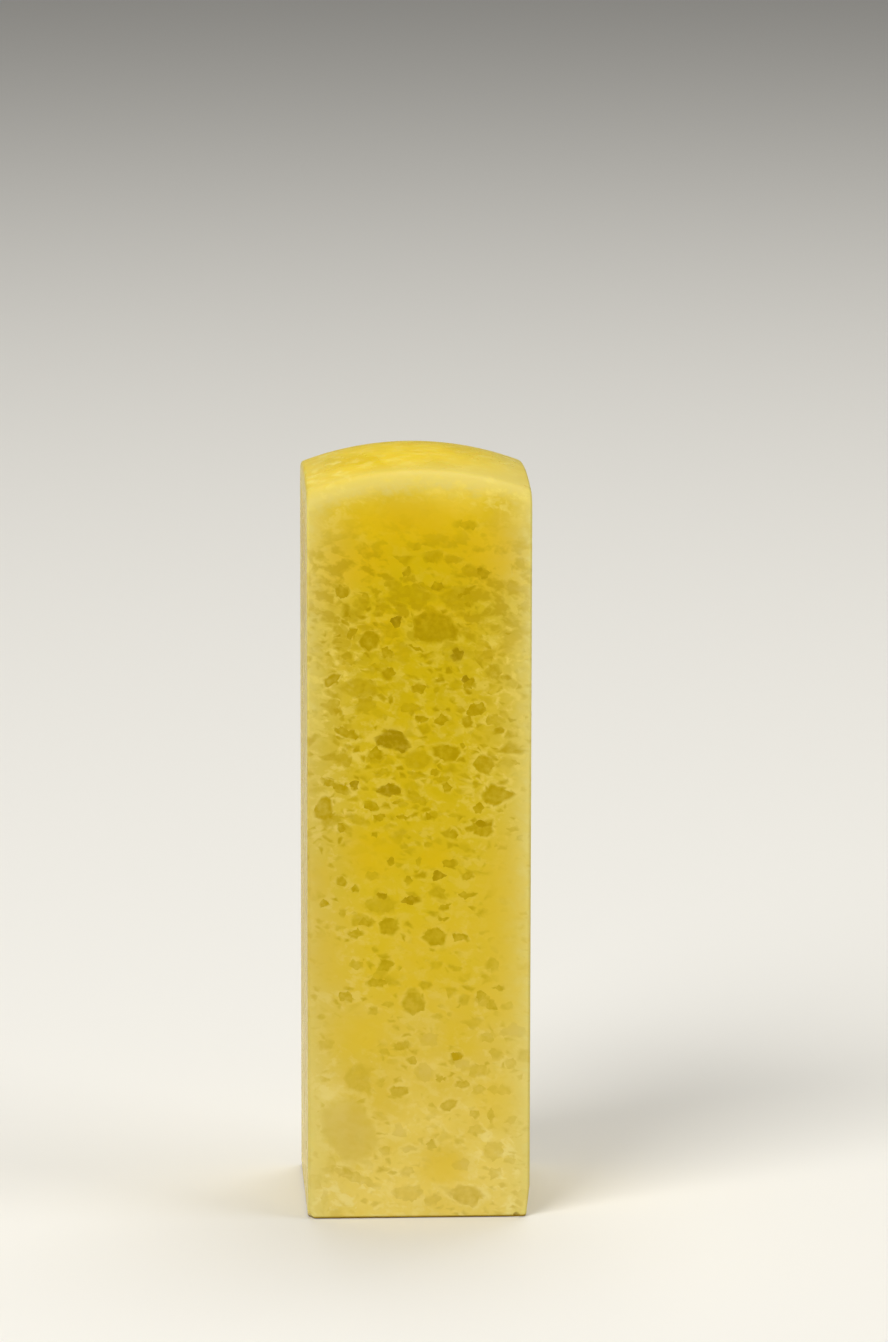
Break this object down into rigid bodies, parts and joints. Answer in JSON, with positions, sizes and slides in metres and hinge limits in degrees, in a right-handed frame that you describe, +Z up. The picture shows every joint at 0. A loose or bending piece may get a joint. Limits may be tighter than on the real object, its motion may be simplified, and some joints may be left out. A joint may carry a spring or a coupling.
{
  "type": "seal stamp",
  "caption": "Square seal stamp ground from a single column of polished yellow stone, with a low vaulted top and a flat, uncarved seal face.",
  "frame": {"origin": "middle of the seal face, on the surface that the stamp stands on", "axes": "+Z up the column from the seal face to the vaulted top; -Y is the front face that the picture shows; +X is to its right"},
  "size_m": [0.022, 0.022, 0.0755],
  "materials": {
    "polished_stone": "polished to a soft gloss, finely sanded on the seal face"
  },
  "bodies": {
    "root": {"seal_stone": "polished_stone"}
  },
  "joints": []
}
